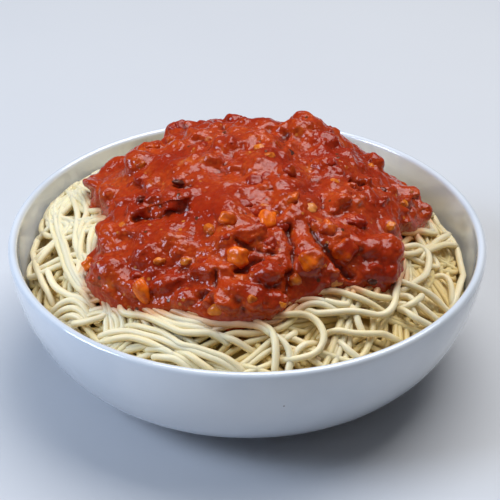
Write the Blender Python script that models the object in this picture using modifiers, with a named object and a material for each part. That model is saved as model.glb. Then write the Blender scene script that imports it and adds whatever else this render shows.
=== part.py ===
"""Spaghetti bolognese in a white glazed bowl: a heap of noodles under a thick, lumpy tomato sauce.

The bowl is turned from one profile. The heap is a core that fills the bowl, with the noodles that
show laid over it round the sauce. The sauce is a domed layer with its larger pieces fused on, and
it rests on the core. Lengths are metres, angles in the tables are degrees, the front is at -Y and
the origin is under the middle of the foot ring.
"""

import math
import random

import bmesh
import bpy
from mathutils import Euler, Matrix, Vector, noise

SEED = 21
GAP = 0.0003
TURN_STEPS = 40

# Bowl
RIM_RADIUS = 0.095
BOWL_HEIGHT = 0.054
WALL = 0.0036
BELLY_RADIUS = 0.0514
BELLY_LEVEL = 0.0053
FLOOR_THICKNESS = 0.0045
WALL_FULLNESS = (0.65, 1.25)
CURVE_POINTS = 8
LIP_POINTS = 3
FOOT_RADIUS = 0.050
FOOT_WIDTH = 0.0055
FOOT_CHAMFER = 0.0007

# Heap of noodles: how far its edge lies under the rim, round the bowl, and how it rises inwards
HEAP_EDGE = ((0, 0.0165), (20, 0.0175), (55, 0.0130), (95, 0.0085), (135, 0.0085), (155, 0.0090),
             (180, 0.0160), (225, 0.0125), (270, 0.0080), (310, 0.0100), (340, 0.0150))
HEAP_TOP = 0.0165
HEAP_POWER = 2.2
CORE_RINGS = 8

# Noodles
NOODLE_DIAMETER = 0.0026
NOODLE_BEVEL = 1
NOODLE_STEP = 0.0054
NOODLE_RISE = (0.0008, 0.0013)
NOODLE_TILT = 0.0004
UPPER_LAYER = 0.6 * NOODLE_DIAMETER
FEWEST_POINTS = 5
SAUCE_CLEARANCE = 0.0012
WAVY_NOODLES = 24
WAVY_LENGTH = (0.062, 0.084)
WAVY_MIDDLE = (0.075, 0.086)
WAVY_SWING = (0.003, 0.008)
WAVES = (2.4, 5.2)
STRAY = 0.3
FRONT_CROWDING = 0.45
LOOPS = ((-28, 0.079, 0.0105), (6, 0.080, 0.0075), (-66, 0.078, 0.0110), (-112, 0.080, 0.0090),
         (-160, 0.079, 0.0085))
LOOP_TURN = 390
LOOP_POINTS = 15
LOOP_GROWTH = (0.82, 1.17)
LOOP_FLATNESS = 0.8

# Sauce: the reach of its outline from the middle, round the bowl, and how thick it lies
SAUCE_EDGE = ((0, 0.068), (12, 0.074), (17, 0.079), (24, 0.075), (34, 0.069), (60, 0.072), (100, 0.072),
              (132, 0.068), (150, 0.070), (161, 0.070), (176, 0.060), (187, 0.0555), (196, 0.060),
              (205, 0.069), (215, 0.0735), (227, 0.073), (236, 0.0675), (250, 0.065), (264, 0.068),
              (276, 0.068), (286, 0.063), (300, 0.0615), (310, 0.063), (319, 0.067), (330, 0.0665),
              (342, 0.063), (352, 0.061))
SAUCE_THICKNESS = 0.0160
SAUCE_BLUNTNESS = 0.50
SAUCE_SEGMENTS = 48
SAUCE_RINGS = 18
SAUCE_SWELL = 0.0060
SAUCE_SWELL_SIZE = 0.012
SAUCE_SUNK = 0.0040
LUMPS = 17
LUMP_UNEVEN = 0.45
LUMP_RADIUS = (0.0060, 0.0098)
LUMP_WIDTH = (0.65, 0.95)
LUMP_THICKNESS = (0.50, 0.65)
DICE = 11
DICE_SIZE = (0.0055, 0.0072)
LENTILS = 16
LENTIL_RADIUS = (0.0026, 0.0034)
LENTIL_STRETCH = (1, 0.8, 0.6)
PIECE_SUNK = 0.15
LUMP_PLACES = (0.4, 0.90)
DICE_PLACES = (1.9, 0.93)
LENTIL_PLACES = (2.7, 0.94)
DICE_TIP = 0.5
ROUND_TIP = 0.3
GOLDEN_ANGLE = math.pi * (3 - math.sqrt(5))

SMOOTH_BELOW = 40

GLAZE = (0.80, 0.82, 0.83)
NOODLE = (0.66, 0.55, 0.32)
TOMATO = (0.36, 0.030, 0.012)


def clear_scene():
    for obj in list(bpy.data.objects):
        bpy.data.objects.remove(obj, do_unlink=True)


def new_collection(name):
    collection = bpy.data.collections.new(name)
    bpy.context.scene.collection.children.link(collection)
    return collection


def material(name, colour, roughness):
    made = bpy.data.materials.new(name)
    made.use_nodes = True
    shader = made.node_tree.nodes["Principled BSDF"]
    shader.inputs["Base Color"].default_value = (*colour, 1)
    shader.inputs["Roughness"].default_value = roughness
    shader.inputs["Metallic"].default_value = 0
    return made


def add_object(name, data, collection):
    obj = bpy.data.objects.new(name, data)
    collection.objects.link(obj)
    return obj


def mesh_object(name, shape, collection):
    """An object made from a bmesh, which is freed."""
    mesh = bpy.data.meshes.new(name)
    shape.to_mesh(mesh)
    shape.free()
    return add_object(name, mesh, collection)


def round_the_bowl(table, azimuth):
    """The table's value at this azimuth, eased from each entry to the next."""
    degrees = math.degrees(azimuth) % 360
    wrapped = [(table[-1][0] - 360, table[-1][1]), *table, (table[0][0] + 360, table[0][1])]
    for (start, low), (end, high) in zip(wrapped, wrapped[1:]):
        if start <= degrees <= end:
            share = 0.5 - 0.5 * math.cos(math.pi * (degrees - start) / (end - start))
            return low + (high - low) * share
    return wrapped[0][1]


def wall_curve(rim_radius, belly_radius, top, bottom):
    """Points (radius, height) down a bowl's wall, from the rim until it levels out."""
    points = []
    for index in range(CURVE_POINTS + 1):
        turn = math.pi / 2 * index / CURVE_POINTS
        radius = belly_radius + (rim_radius - belly_radius) * max(math.cos(turn), 0) ** WALL_FULLNESS[0]
        height = top - (top - bottom) * math.sin(turn) ** WALL_FULLNESS[1]
        points.append((radius, height))
    return points


def inner_wall():
    """The inside of the bowl, from just under the lip to the edge of its floor."""
    return wall_curve(
        RIM_RADIUS - WALL, BELLY_RADIUS - WALL, BOWL_HEIGHT - WALL / 2, BELLY_LEVEL + FLOOR_THICKNESS
    )


def bowl_profile():
    """Half of the bowl's section, from the middle of its floor over the lip to the middle of its base."""
    outer = wall_curve(RIM_RADIUS, BELLY_RADIUS, BOWL_HEIGHT - WALL / 2, BELLY_LEVEL)
    lip = []
    for index in range(1, LIP_POINTS + 1):
        turn = math.pi * (1 - index / (LIP_POINTS + 1))
        lip.append((RIM_RADIUS - WALL / 2 + WALL / 2 * math.cos(turn),
                    BOWL_HEIGHT - WALL / 2 + WALL / 2 * math.sin(turn)))
    foot_inside = FOOT_RADIUS - FOOT_WIDTH
    foot = [
        (FOOT_RADIUS, BELLY_LEVEL),
        (FOOT_RADIUS, FOOT_CHAMFER),
        (FOOT_RADIUS - FOOT_CHAMFER, 0),
        (foot_inside + FOOT_CHAMFER, 0),
        (foot_inside, FOOT_CHAMFER),
        (foot_inside, BELLY_LEVEL),
    ]
    inside = inner_wall()[::-1]
    return [(0, inside[0][1]), *inside, *lip, *outer, *foot, (0, BELLY_LEVEL)]


def turned(name, profile, collection):
    """A body turned about the Z axis from (radius, height) points."""
    shape = bmesh.new()
    verts = [shape.verts.new((radius, 0, height)) for radius, height in profile]
    for first, second in zip(verts, verts[1:]):
        shape.edges.new((first, second))
    obj = mesh_object(name, shape, collection)
    screw = obj.modifiers.new("Turn", "SCREW")
    screw.steps = TURN_STEPS
    screw.render_steps = TURN_STEPS
    screw.use_merge_vertices = True
    screw.merge_threshold = 0.00001
    screw.use_smooth_shade = True
    return obj


def room_radius(height):
    """How far a thing inside the bowl may reach at this height."""
    wall = inner_wall()
    if height >= wall[0][1]:
        return wall[0][0] - GAP
    for (upper_radius, upper), (lower_radius, lower) in zip(wall, wall[1:]):
        if height >= lower:
            share = (height - lower) / (upper - lower)
            return lower_radius + (upper_radius - lower_radius) * share - GAP
    return wall[-1][0] - GAP


def heap_height(x, y):
    """The top of the heap's core over this place."""
    azimuth = math.atan2(y, x)
    edge = BOWL_HEIGHT - round_the_bowl(HEAP_EDGE, azimuth)
    out = min(math.hypot(x, y) / room_radius(edge), 1)
    return edge + (BOWL_HEIGHT + HEAP_TOP - edge) * (1 - out ** HEAP_POWER)


def core_mesh():
    """The core, shaped from a sphere: its upper half is the heap, its lower half follows the wall."""
    floor = BELLY_LEVEL + FLOOR_THICKNESS + GAP
    ring_turn = math.pi / 2 / CORE_RINGS
    shape = bmesh.new()
    bmesh.ops.create_uvsphere(shape, u_segments=TURN_STEPS, v_segments=2 * CORE_RINGS, radius=1)
    for vert in shape.verts:
        azimuth = math.atan2(vert.co.y, vert.co.x)
        ring = round(math.asin(max(-1, min(1, vert.co.z))) / ring_turn)
        edge = BOWL_HEIGHT - round_the_bowl(HEAP_EDGE, azimuth)
        if ring >= 0:
            radius = room_radius(edge) * math.cos(ring * ring_turn)
            height = heap_height(radius * math.cos(azimuth), radius * math.sin(azimuth))
        elif ring > -CORE_RINGS:
            down = math.pi / 2 * -ring / (CORE_RINGS - 1)
            height = edge - (edge - floor) * math.sin(down) ** WALL_FULLNESS[1]
            radius = room_radius(height)
        else:
            height = floor
            radius = 0
        vert.co = (radius * math.cos(azimuth), radius * math.sin(azimuth), height)
    return shape


def noodle(points, collection):
    """One noodle as a closed mesh along these points."""
    data = bpy.data.curves.new("noodle", "CURVE")
    data.dimensions = "3D"
    data.bevel_depth = NOODLE_DIAMETER / 2
    data.bevel_resolution = NOODLE_BEVEL
    data.use_fill_caps = True
    spline = data.splines.new("POLY")
    spline.points.add(len(points) - 1)
    for place, point in zip(spline.points, points):
        place.co = (*point, 1)
    guide = add_object("noodle_guide", data, collection)
    graph = bpy.context.evaluated_depsgraph_get()
    mesh = bpy.data.meshes.new_from_object(guide.evaluated_get(graph))
    shape = bmesh.new()
    shape.from_mesh(mesh)
    bmesh.ops.remove_doubles(shape, verts=shape.verts, dist=0.000005)
    shape.to_mesh(mesh)
    shape.free()
    made = add_object("noodle", mesh, collection)
    made.matrix_world = guide.matrix_world
    bpy.data.objects.remove(guide, do_unlink=True)
    return made


def lay_down(path, rise, lift):
    """The stretch of a flat path that has room, laid on the core and clear of the sauce and the wall."""
    laid = []
    for index, (x, y) in enumerate(path):
        azimuth = math.atan2(y, x)
        radius = math.hypot(x, y)
        height = heap_height(x, y) + rise + lift * index / len(path)
        reach = room_radius(height - NOODLE_DIAMETER / 2) - NOODLE_DIAMETER / 2 - GAP
        start = round_the_bowl(SAUCE_EDGE, azimuth) + NOODLE_DIAMETER / 2 + SAUCE_CLEARANCE
        if radius < start:
            if laid:
                break
            continue
        if radius > reach:
            x, y = x * reach / radius, y * reach / radius
        laid.append((x, y, height))
    return laid


def wavy_path(draw, index):
    """A noodle that wanders between the sauce and the wall while it runs round the bowl."""
    evenly = 2 * math.pi * (index + draw.uniform(-STRAY, STRAY)) / WAVY_NOODLES
    azimuth = evenly - FRONT_CROWDING * math.cos(evenly)
    way = 1 if index % 2 else -1
    wave = draw.uniform(*WAVES)
    phase = draw.uniform(0, 2 * math.pi)
    middle = draw.uniform(*WAVY_MIDDLE)
    swing = draw.uniform(*WAVY_SWING)
    length = draw.uniform(*WAVY_LENGTH)
    path = []
    for step in range(int(length / NOODLE_STEP)):
        radius = middle + swing * math.sin(wave * azimuth + phase)
        path.append((radius * math.cos(azimuth), radius * math.sin(azimuth)))
        slope = swing * wave * math.cos(wave * azimuth + phase)
        azimuth += way * NOODLE_STEP / math.hypot(radius, slope)
    return path


def loop_path(azimuth, radius, size):
    """A noodle curled on itself, a little more than one turn."""
    middle = Vector((radius * math.cos(azimuth), radius * math.sin(azimuth)))
    path = []
    for index in range(LOOP_POINTS + 1):
        turn = azimuth + math.pi / 2 + math.radians(LOOP_TURN) * index / LOOP_POINTS
        reach = size * (LOOP_GROWTH[0] + (LOOP_GROWTH[1] - LOOP_GROWTH[0]) * index / LOOP_POINTS)
        path.append(tuple(middle + reach * Vector((math.cos(turn), LOOP_FLATNESS * math.sin(turn)))))
    return path


def lay_noodles(collection):
    draw = random.Random(SEED)
    for index in range(WAVY_NOODLES):
        rise = draw.uniform(*NOODLE_RISE) + UPPER_LAYER * (index % 2)
        points = lay_down(wavy_path(draw, index), rise, draw.uniform(-NOODLE_TILT, NOODLE_TILT))
        if len(points) >= FEWEST_POINTS:
            noodle(points, collection)
    for degrees, radius, size in LOOPS:
        path = loop_path(math.radians(degrees), radius, size)
        points = lay_down(path, NOODLE_RISE[0], NOODLE_DIAMETER)
        if len(points) >= FEWEST_POINTS:
            noodle(points, collection)


def sauce_height(x, y):
    """The top of the sauce over this place."""
    out = min(math.hypot(x, y) / round_the_bowl(SAUCE_EDGE, math.atan2(y, x)), 1)
    swell = SAUCE_SWELL * noise.noise(Vector((x, y, 0)) / SAUCE_SWELL_SIZE)
    fade = math.sqrt(1 - out * out) ** SAUCE_BLUNTNESS
    return heap_height(x, y) + (SAUCE_THICKNESS + swell) * fade


def sauce_mesh():
    """The layer of sauce, with its underside sunk in the core, which is cut away later."""
    shape = bmesh.new()
    bmesh.ops.create_uvsphere(shape, u_segments=SAUCE_SEGMENTS, v_segments=SAUCE_RINGS, radius=1)
    for vert in shape.verts:
        azimuth = math.atan2(vert.co.y, vert.co.x)
        out = math.hypot(vert.co.x, vert.co.y)
        edge = round_the_bowl(SAUCE_EDGE, azimuth)
        x, y = edge * out * math.cos(azimuth), edge * out * math.sin(azimuth)
        if out < 1 and vert.co.z > 0:
            height = sauce_height(x, y)
        else:
            height = heap_height(x, y) - SAUCE_SUNK * (1 - out * out) + GAP
        vert.co = (x, y, height)
    return shape


def spread(count, places):
    """Places over the sauce, evenly spread by the golden angle, from a first turn out to a reach."""
    turn, reach = places
    for index in range(count):
        azimuth = index * GOLDEN_ANGLE + turn
        radius = reach * round_the_bowl(SAUCE_EDGE, azimuth) * math.sqrt((index + 0.5) / count)
        yield radius * math.cos(azimuth), radius * math.sin(azimuth)


def fused_piece(kind, place, size, stretch, draw, collection):
    """One piece half sunk in the sauce: a lump, a cube of carrot or a lentil."""
    shape = bmesh.new()
    if kind == "dice":
        bmesh.ops.create_cube(shape, size=2 * size)
        tip = draw.uniform(-DICE_TIP, DICE_TIP)
        spin = Euler((tip, draw.uniform(-DICE_TIP, DICE_TIP), draw.uniform(0, math.pi)))
    else:
        bmesh.ops.create_icosphere(shape, subdivisions=2 if kind == "lump" else 1, radius=size)
        spin = Euler((0, draw.uniform(-ROUND_TIP, ROUND_TIP), draw.uniform(0, math.pi)))
        shift = Vector((draw.uniform(0, 9), draw.uniform(0, 9), 0))
        for vert in shape.verts:
            vert.co *= 1 + LUMP_UNEVEN * noise.noise(vert.co / size + shift)
        bmesh.ops.scale(shape, vec=stretch, verts=shape.verts)
    x, y = place
    move = Matrix.Translation((x, y, sauce_height(x, y) - PIECE_SUNK * size))
    bmesh.ops.transform(shape, matrix=move @ spin.to_matrix().to_4x4(), verts=shape.verts)
    mesh_object(kind, shape, collection)


def add_sauce_pieces(collection):
    draw = random.Random(SEED + 1)
    for place in spread(LUMPS, LUMP_PLACES):
        stretch = (1, draw.uniform(*LUMP_WIDTH), draw.uniform(*LUMP_THICKNESS))
        fused_piece("lump", place, draw.uniform(*LUMP_RADIUS), stretch, draw, collection)
    for place in spread(DICE, DICE_PLACES):
        fused_piece("dice", place, draw.uniform(*DICE_SIZE) / 2, None, draw, collection)
    for place in spread(LENTILS, LENTIL_PLACES):
        fused_piece("lentil", place, draw.uniform(*LENTIL_RADIUS), LENTIL_STRETCH, draw, collection)


def apply_boolean(obj, operation, operand):
    """Joins a collection's objects to this one, or cuts an object from it, and keeps the result."""
    boolean = obj.modifiers.new(operation, "BOOLEAN")
    boolean.operation = operation
    boolean.solver = "MANIFOLD"
    if isinstance(operand, bpy.types.Collection):
        boolean.operand_type = "COLLECTION"
        boolean.collection = operand
    else:
        boolean.object = operand
    graph = bpy.context.evaluated_depsgraph_get()
    mesh = bpy.data.meshes.new_from_object(obj.evaluated_get(graph))
    obj.modifiers.clear()
    obj.data = mesh


def remove_collection(collection):
    for obj in list(collection.objects):
        bpy.data.objects.remove(obj, do_unlink=True)
    bpy.data.collections.remove(collection)


def keep_outside(obj):
    """Keeps the largest skin of a joined body, which fills sealed hollows and drops loose scraps."""
    shape = bmesh.new()
    shape.from_mesh(obj.data)
    left = set(shape.faces)
    skins = []
    while left:
        skin = set()
        front = [left.pop()]
        while front:
            face = front.pop()
            skin.add(face)
            for edge in face.edges:
                for other in edge.link_faces:
                    if other in left:
                        left.remove(other)
                        front.append(other)
        skins.append(skin)
    largest = max(skins, key=len)
    doomed = [face for face in shape.faces if face not in largest]
    bmesh.ops.delete(shape, geom=doomed, context="FACES")
    shape.to_mesh(obj.data)
    shape.free()


def finish(obj, made):
    obj.data.materials.clear()
    obj.data.materials.append(made)
    obj.data.shade_smooth()
    obj.data.set_sharp_from_angle(angle=math.radians(SMOOTH_BELOW))


def build():
    clear_scene()
    dish = new_collection("spaghetti_bolognese")
    cutters = new_collection("cutters")

    bowl = turned("bowl", bowl_profile(), dish)
    finish(bowl, material("glaze", GLAZE, 0.12))

    sauce = mesh_object("sauce", sauce_mesh(), dish)
    pieces = new_collection("sauce_pieces")
    add_sauce_pieces(pieces)
    apply_boolean(sauce, "UNION", pieces)
    remove_collection(pieces)
    bed = mesh_object("sauce_bed", core_mesh(), cutters)
    bed.data.transform(Matrix.Translation((0, 0, GAP)))
    bed.hide_render = True
    bed.display_type = "WIRE"
    apply_boolean(sauce, "DIFFERENCE", bed)
    keep_outside(sauce)
    finish(sauce, material("tomato_sauce", TOMATO, 0.25))

    spaghetti = mesh_object("spaghetti", core_mesh(), dish)
    noodles = new_collection("noodles")
    lay_noodles(noodles)
    apply_boolean(spaghetti, "UNION", noodles)
    remove_collection(noodles)
    keep_outside(spaghetti)
    finish(spaghetti, material("noodle", NOODLE, 0.35))


build()
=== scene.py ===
import math
import random

import bmesh
import bpy
import numpy as np
from mathutils import Euler, Matrix, Vector, noise
from mathutils.bvhtree import BVHTree


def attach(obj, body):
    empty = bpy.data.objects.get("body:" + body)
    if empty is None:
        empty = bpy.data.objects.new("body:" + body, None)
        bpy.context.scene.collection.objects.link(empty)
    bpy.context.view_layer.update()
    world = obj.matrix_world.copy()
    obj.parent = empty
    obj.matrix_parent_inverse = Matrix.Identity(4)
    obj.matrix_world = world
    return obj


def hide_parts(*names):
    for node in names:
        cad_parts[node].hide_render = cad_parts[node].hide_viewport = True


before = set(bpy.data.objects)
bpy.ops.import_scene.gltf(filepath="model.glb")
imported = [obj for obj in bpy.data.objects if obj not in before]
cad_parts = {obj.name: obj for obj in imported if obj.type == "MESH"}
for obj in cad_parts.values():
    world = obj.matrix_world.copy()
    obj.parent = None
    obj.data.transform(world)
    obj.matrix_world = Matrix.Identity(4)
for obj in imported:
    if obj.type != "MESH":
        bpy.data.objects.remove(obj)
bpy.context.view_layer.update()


# The viewpoint: a long lens a good arm's length from the bowl, looking down on its front at about a
# third of a right angle. Places on the food are found by sighting from here.
RIM_HEIGHT = 0.054
CAMERA_DISTANCE = 0.650
CAMERA_ELEVATION = math.radians(32.178)
CAMERA_PAN = math.radians(-0.0948)
CAMERA_TILT = math.radians(-0.6457)
CAMERA_ROLL = math.radians(-0.3036)
FOCAL = 1628.5
PICTURE = 500
SENSOR = 36


def aim_camera():
    """The camera's place, and the directions right, up and ahead of it."""
    back = Vector((0, -math.cos(CAMERA_ELEVATION), math.sin(CAMERA_ELEVATION)))
    place = Vector((0, 0, RIM_HEIGHT)) + CAMERA_DISTANCE * back
    ahead = -back
    right = Vector((1, 0, 0))
    up = right.cross(ahead)
    pan = Matrix.Rotation(CAMERA_PAN, 3, up)
    ahead, right = pan @ ahead, pan @ right
    tilt = Matrix.Rotation(CAMERA_TILT, 3, right)
    ahead, up = tilt @ ahead, tilt @ up
    roll = Matrix.Rotation(CAMERA_ROLL, 3, ahead)
    right, up = roll @ right, roll @ up
    return place, right, up, ahead


eye, eye_right, eye_up, eye_ahead = aim_camera()
lens = bpy.data.cameras.new("camera")
lens.sensor_width = SENSOR
lens.lens = FOCAL * SENSOR / PICTURE
camera = bpy.data.objects.new("camera", lens)
eye_turn = Matrix((eye_right, eye_up, -eye_ahead)).transposed().to_4x4()
camera.matrix_world = Matrix.Translation(eye) @ eye_turn
bpy.context.scene.collection.objects.link(camera)
bpy.context.scene.camera = camera


def sight(across, down):
    """The direction from the camera through a point of the picture."""
    middle = PICTURE / 2
    return (eye_ahead * FOCAL + eye_right * (across - middle) - eye_up * (down - middle)).normalized()


# The bowl: stoneware turned on a wheel, with a rounded lip, a full belly and a foot ring. It is
# dipped in a faintly clouded white glaze, with one dark speck, that leaves the foot's edge bare.
RIM_RADIUS = 0.095
WALL = 0.0036
BELLY_RADIUS = 0.0514
BELLY_LEVEL = 0.0053
FLOOR_THICKNESS = 0.0045
WALL_FULLNESS = (0.65, 1.25)
FOOT_RADIUS = 0.050
FOOT_WIDTH = 0.0055
FOOT_CHAMFER = 0.0007
LIP_LEVEL = RIM_HEIGHT - WALL / 2
FLOOR_LEVEL = BELLY_LEVEL + FLOOR_THICKNESS
WALL_POINTS = 28
LIP_POINTS = 9
TURN_STEPS = 160


class Wire:
    """A shader value to reckon with: an expression on wires adds the nodes that work it out."""

    def __init__(self, finish, socket):
        self.finish = finish
        self.socket = socket

    def reckon(self, operation, first, second):
        return self.finish.node("Math", {"operation": operation}, {0: first, 1: second})

    def __add__(self, other):
        return self.reckon("ADD", self, other)

    def __sub__(self, other):
        return self.reckon("SUBTRACT", self, other)

    def __rsub__(self, other):
        return self.reckon("SUBTRACT", other, self)

    def __mul__(self, other):
        return self.reckon("MULTIPLY", self, other)

    __radd__ = __add__
    __rmul__ = __mul__

    def between(self, low, high):
        """Nought below low and one above high, and smooth between them."""
        return self.finish.node(
            "MapRange",
            {"interpolation_type": "SMOOTHSTEP"},
            {0: self, 1: low, 2: high, 3: 0.0, 4: 1.0},
        )


class Finish:
    """A material that is put together from nodes."""

    def __init__(self, name):
        self.material = bpy.data.materials.new(name)
        self.material.use_nodes = True
        self.tree = self.material.node_tree
        self.shader = self.tree.nodes["Principled BSDF"]
        self.where = self.node("TexCoord", {}, {}, "Object")

    def feed(self, socket, value):
        """Gives a socket a value, a colour or what comes from another node."""
        if isinstance(value, Wire):
            self.tree.links.new(value.socket, socket)
        elif isinstance(value, tuple) and socket.type == "RGBA":
            socket.default_value = (*value, 1)
        else:
            socket.default_value = value

    def node(self, kind, settings, sockets, output=0):
        """The output of a new node of this kind. Its settings are made before its sockets are fed."""
        made = self.tree.nodes.new("ShaderNode" + kind)
        for name, value in settings.items():
            setattr(made, name, value)
        for name, value in sockets.items():
            self.feed(made.inputs[name], value)
        return Wire(self, made.outputs[output])

    def mottle(self, scale, detail, rough=0.5):
        """Noise with features about one over scale wide, in metres."""
        sockets = {"Vector": self.where, "Scale": scale, "Detail": detail, "Roughness": rough}
        return self.node("TexNoise", {}, sockets, "Fac")

    def cells(self, scale, output="Distance"):
        """Grains about one over scale wide: the distance to the nearest, or its own random colour."""
        return self.node("TexVoronoi", {"feature": "F1"}, {"Vector": self.where, "Scale": scale}, output)

    def blend(self, first, second, share):
        """The first colour going over to the second by this share."""
        settings = {"data_type": "RGBA", "blend_type": "MIX", "clamp_factor": True}
        return self.node("Mix", settings, {0: share, 6: first, 7: second}, 2)

    def attribute(self, name):
        """What the mesh keeps on its corners under this name."""
        return self.node("Attribute", {"attribute_name": name}, {}, "Fac")

    def relief(self, height, distance, strength):
        """Bumps of this height, which the light shows but the outline doesn't."""
        sockets = {"Height": height, "Distance": distance, "Strength": strength}
        return self.node("Bump", {}, sockets, "Normal")

    def make(self, **sockets):
        """Feeds the shader: a name such as Base_Color is its socket Base Color."""
        for name, value in sockets.items():
            self.feed(self.shader.inputs[name.replace("_", " ")], value)
        return self.material


def wall_curve(rim_radius, belly_radius, bottom):
    """Points (radius, height) down one side of the wall, from the lip until it levels out."""
    points = []
    for index in range(WALL_POINTS + 1):
        turn = math.pi / 2 * index / WALL_POINTS
        radius = belly_radius + (rim_radius - belly_radius) * max(math.cos(turn), 0) ** WALL_FULLNESS[0]
        height = LIP_LEVEL - (LIP_LEVEL - bottom) * math.sin(turn) ** WALL_FULLNESS[1]
        points.append((radius, height))
    return points


outside_wall = wall_curve(RIM_RADIUS, BELLY_RADIUS, BELLY_LEVEL)
inside_wall = wall_curve(RIM_RADIUS - WALL, BELLY_RADIUS - WALL, FLOOR_LEVEL)


def bowl_profile():
    """Half of the bowl's section, from the middle of its floor over the lip to the middle below."""
    lip = []
    lip_radius = RIM_RADIUS - WALL / 2
    for index in range(1, LIP_POINTS + 1):
        turn = math.pi * (1 - index / (LIP_POINTS + 1))
        lip.append((lip_radius + WALL / 2 * math.cos(turn), LIP_LEVEL + WALL / 2 * math.sin(turn)))
    foot_inside = FOOT_RADIUS - FOOT_WIDTH
    foot = [
        (FOOT_RADIUS, BELLY_LEVEL - FOOT_CHAMFER),
        (FOOT_RADIUS, FOOT_CHAMFER),
        (FOOT_RADIUS - FOOT_CHAMFER, 0),
        (foot_inside + FOOT_CHAMFER, 0),
        (foot_inside, FOOT_CHAMFER),
        (foot_inside, BELLY_LEVEL - FOOT_CHAMFER),
        (foot_inside - FOOT_CHAMFER, BELLY_LEVEL),
    ]
    return [(0, inside_wall[-1][1]), *inside_wall[::-1], *lip, *outside_wall, *foot, (0, BELLY_LEVEL)]


def mesh_piece(name, verts, faces, material, smooth=True):
    """A mesh in one finish, put in the scene."""
    mesh = bpy.data.meshes.new(name)
    mesh.from_pydata([tuple(vert) for vert in verts], [], faces)
    mesh.validate()
    mesh.update()
    if smooth:
        mesh.shade_smooth()
    piece = bpy.data.objects.new(name, mesh)
    piece.data.materials.append(material)
    bpy.context.scene.collection.objects.link(piece)
    return piece


def ringed_faces(steps, rings):
    """The faces of a body of rings, with a single corner before the first and one after the last."""
    faces = []
    end = 1 + rings * steps
    for step in range(steps):
        beside = (step + 1) % steps
        faces.append((0, 1 + step, 1 + beside))
        for ring in range(rings - 1):
            near, far = 1 + ring * steps, 1 + (ring + 1) * steps
            faces.append((near + step, far + step, far + beside, near + beside))
        faces.append((end - steps + step, end, end - steps + beside))
    return faces


def turn_profile(profile, steps):
    """The corners and faces of a body turned from a profile that starts and ends on the axis."""
    verts = [(0, 0, profile[0][1])]
    for radius, height in profile[1:-1]:
        for step in range(steps):
            azimuth = 2 * math.pi * step / steps
            verts.append((radius * math.cos(azimuth), radius * math.sin(azimuth), height))
    verts.append((0, 0, profile[-1][1]))
    return verts, ringed_faces(steps, len(profile) - 2)


WHITE_GLAZE = (0.70, 0.74, 0.80)
POOLED_GLAZE = (0.62, 0.67, 0.74)
BARE_CLAY = (0.55, 0.48, 0.40)
GLAZE_STARTS = (0.0006, 0.0014)
SPECK_DARK = (0.08, 0.05, 0.04)
SPECK_SIZE = 0.0005
SPECK_SIGHTED = (284, 406)
WALL_REACHES = np.linspace(0.45, 0.70, 2000)


def along_sight(across, down, reaches):
    """Places at these distances from the camera, in line with a point of the picture."""
    return np.array(eye)[None, :] + reaches[:, None] * np.array(sight(across, down))[None, :]


def on_outside_wall(across, down):
    """The place on the outside of the bowl that is sighted at a point of the picture."""
    radii, heights = np.array(outside_wall[::-1]).T
    places = along_sight(across, down, WALL_REACHES)
    inside = np.hypot(places[:, 0], places[:, 1]) < np.interp(places[:, 2], heights, radii)
    return places[int(np.argmax(inside & (places[:, 2] < RIM_HEIGHT)))]


glaze = Finish("white_glaze")
_, _, level = (glaze.node("SeparateXYZ", {}, {0: glaze.where}, axis) for axis in "XYZ")
clouds = glaze.mottle(22.0, 3.0)
pinholes = glaze.mottle(900.0, 2.0)
skin = glaze.mottle(160.0, 3.0)
glazed = glaze.blend(WHITE_GLAZE, POOLED_GLAZE, clouds.between(0.42, 0.72))
bare = 1 - level.between(*GLAZE_STARTS)
clay = glaze.blend(glazed, BARE_CLAY, bare)
speck_at = tuple(float(value) for value in on_outside_wall(*SPECK_SIGHTED))
speck_distance = glaze.node(
    "VectorMath", {"operation": "DISTANCE"}, {0: glaze.where, 1: speck_at}, "Value"
)
speck = 1 - speck_distance.between(0.3 * SPECK_SIZE, SPECK_SIZE)
glaze_material = glaze.make(
    Base_Color=glaze.blend(clay, SPECK_DARK, speck * 0.8),
    Roughness=0.10 + clouds * 0.08 + bare * 0.6,
    IOR=1.50,
    Coat_Weight=(1 - bare) * 0.7,
    Coat_Roughness=0.05,
    Normal=glaze.relief(skin + pinholes * 0.15, 0.00008, 0.6),
)
bowl = mesh_piece("glazed_bowl", *turn_profile(bowl_profile(), TURN_STEPS), glaze_material)
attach(bowl, "root")
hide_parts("bowl")


# The bed of spaghetti: cooked noodles fill the bowl and heap up in the middle. This is the packed
# mass of them, moulded to the bowl, which shows between the loose noodles and is painted in shade.
GAP = 0.0003
# How far under the rim the heap meets the wall, at each azimuth in degrees
HEAP_EDGE = ((0, 0.0165), (20, 0.0175), (55, 0.0130), (95, 0.0085), (135, 0.0085), (155, 0.0090),
             (180, 0.0160), (225, 0.0125), (270, 0.0080), (310, 0.0100), (340, 0.0150))
HEAP_TOP = 0.0165
HEAP_POWER = 2.2
# How far the sauce reaches from the middle, at each azimuth in degrees
SAUCE_EDGE = ((0, 0.068), (12, 0.074), (17, 0.079), (24, 0.075), (34, 0.069), (60, 0.072), (100, 0.072),
              (132, 0.0645), (150, 0.0680), (161, 0.0668), (176, 0.0590), (186, 0.056), (193, 0.0555),
              (200, 0.0620), (207, 0.0702), (216, 0.0742), (227, 0.0742), (236, 0.0708), (250, 0.0688),
              (264, 0.0714), (276, 0.0704), (286, 0.064), (300, 0.0620), (310, 0.0648), (319, 0.0690),
              (330, 0.0685), (342, 0.0630), (352, 0.0605))
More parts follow.
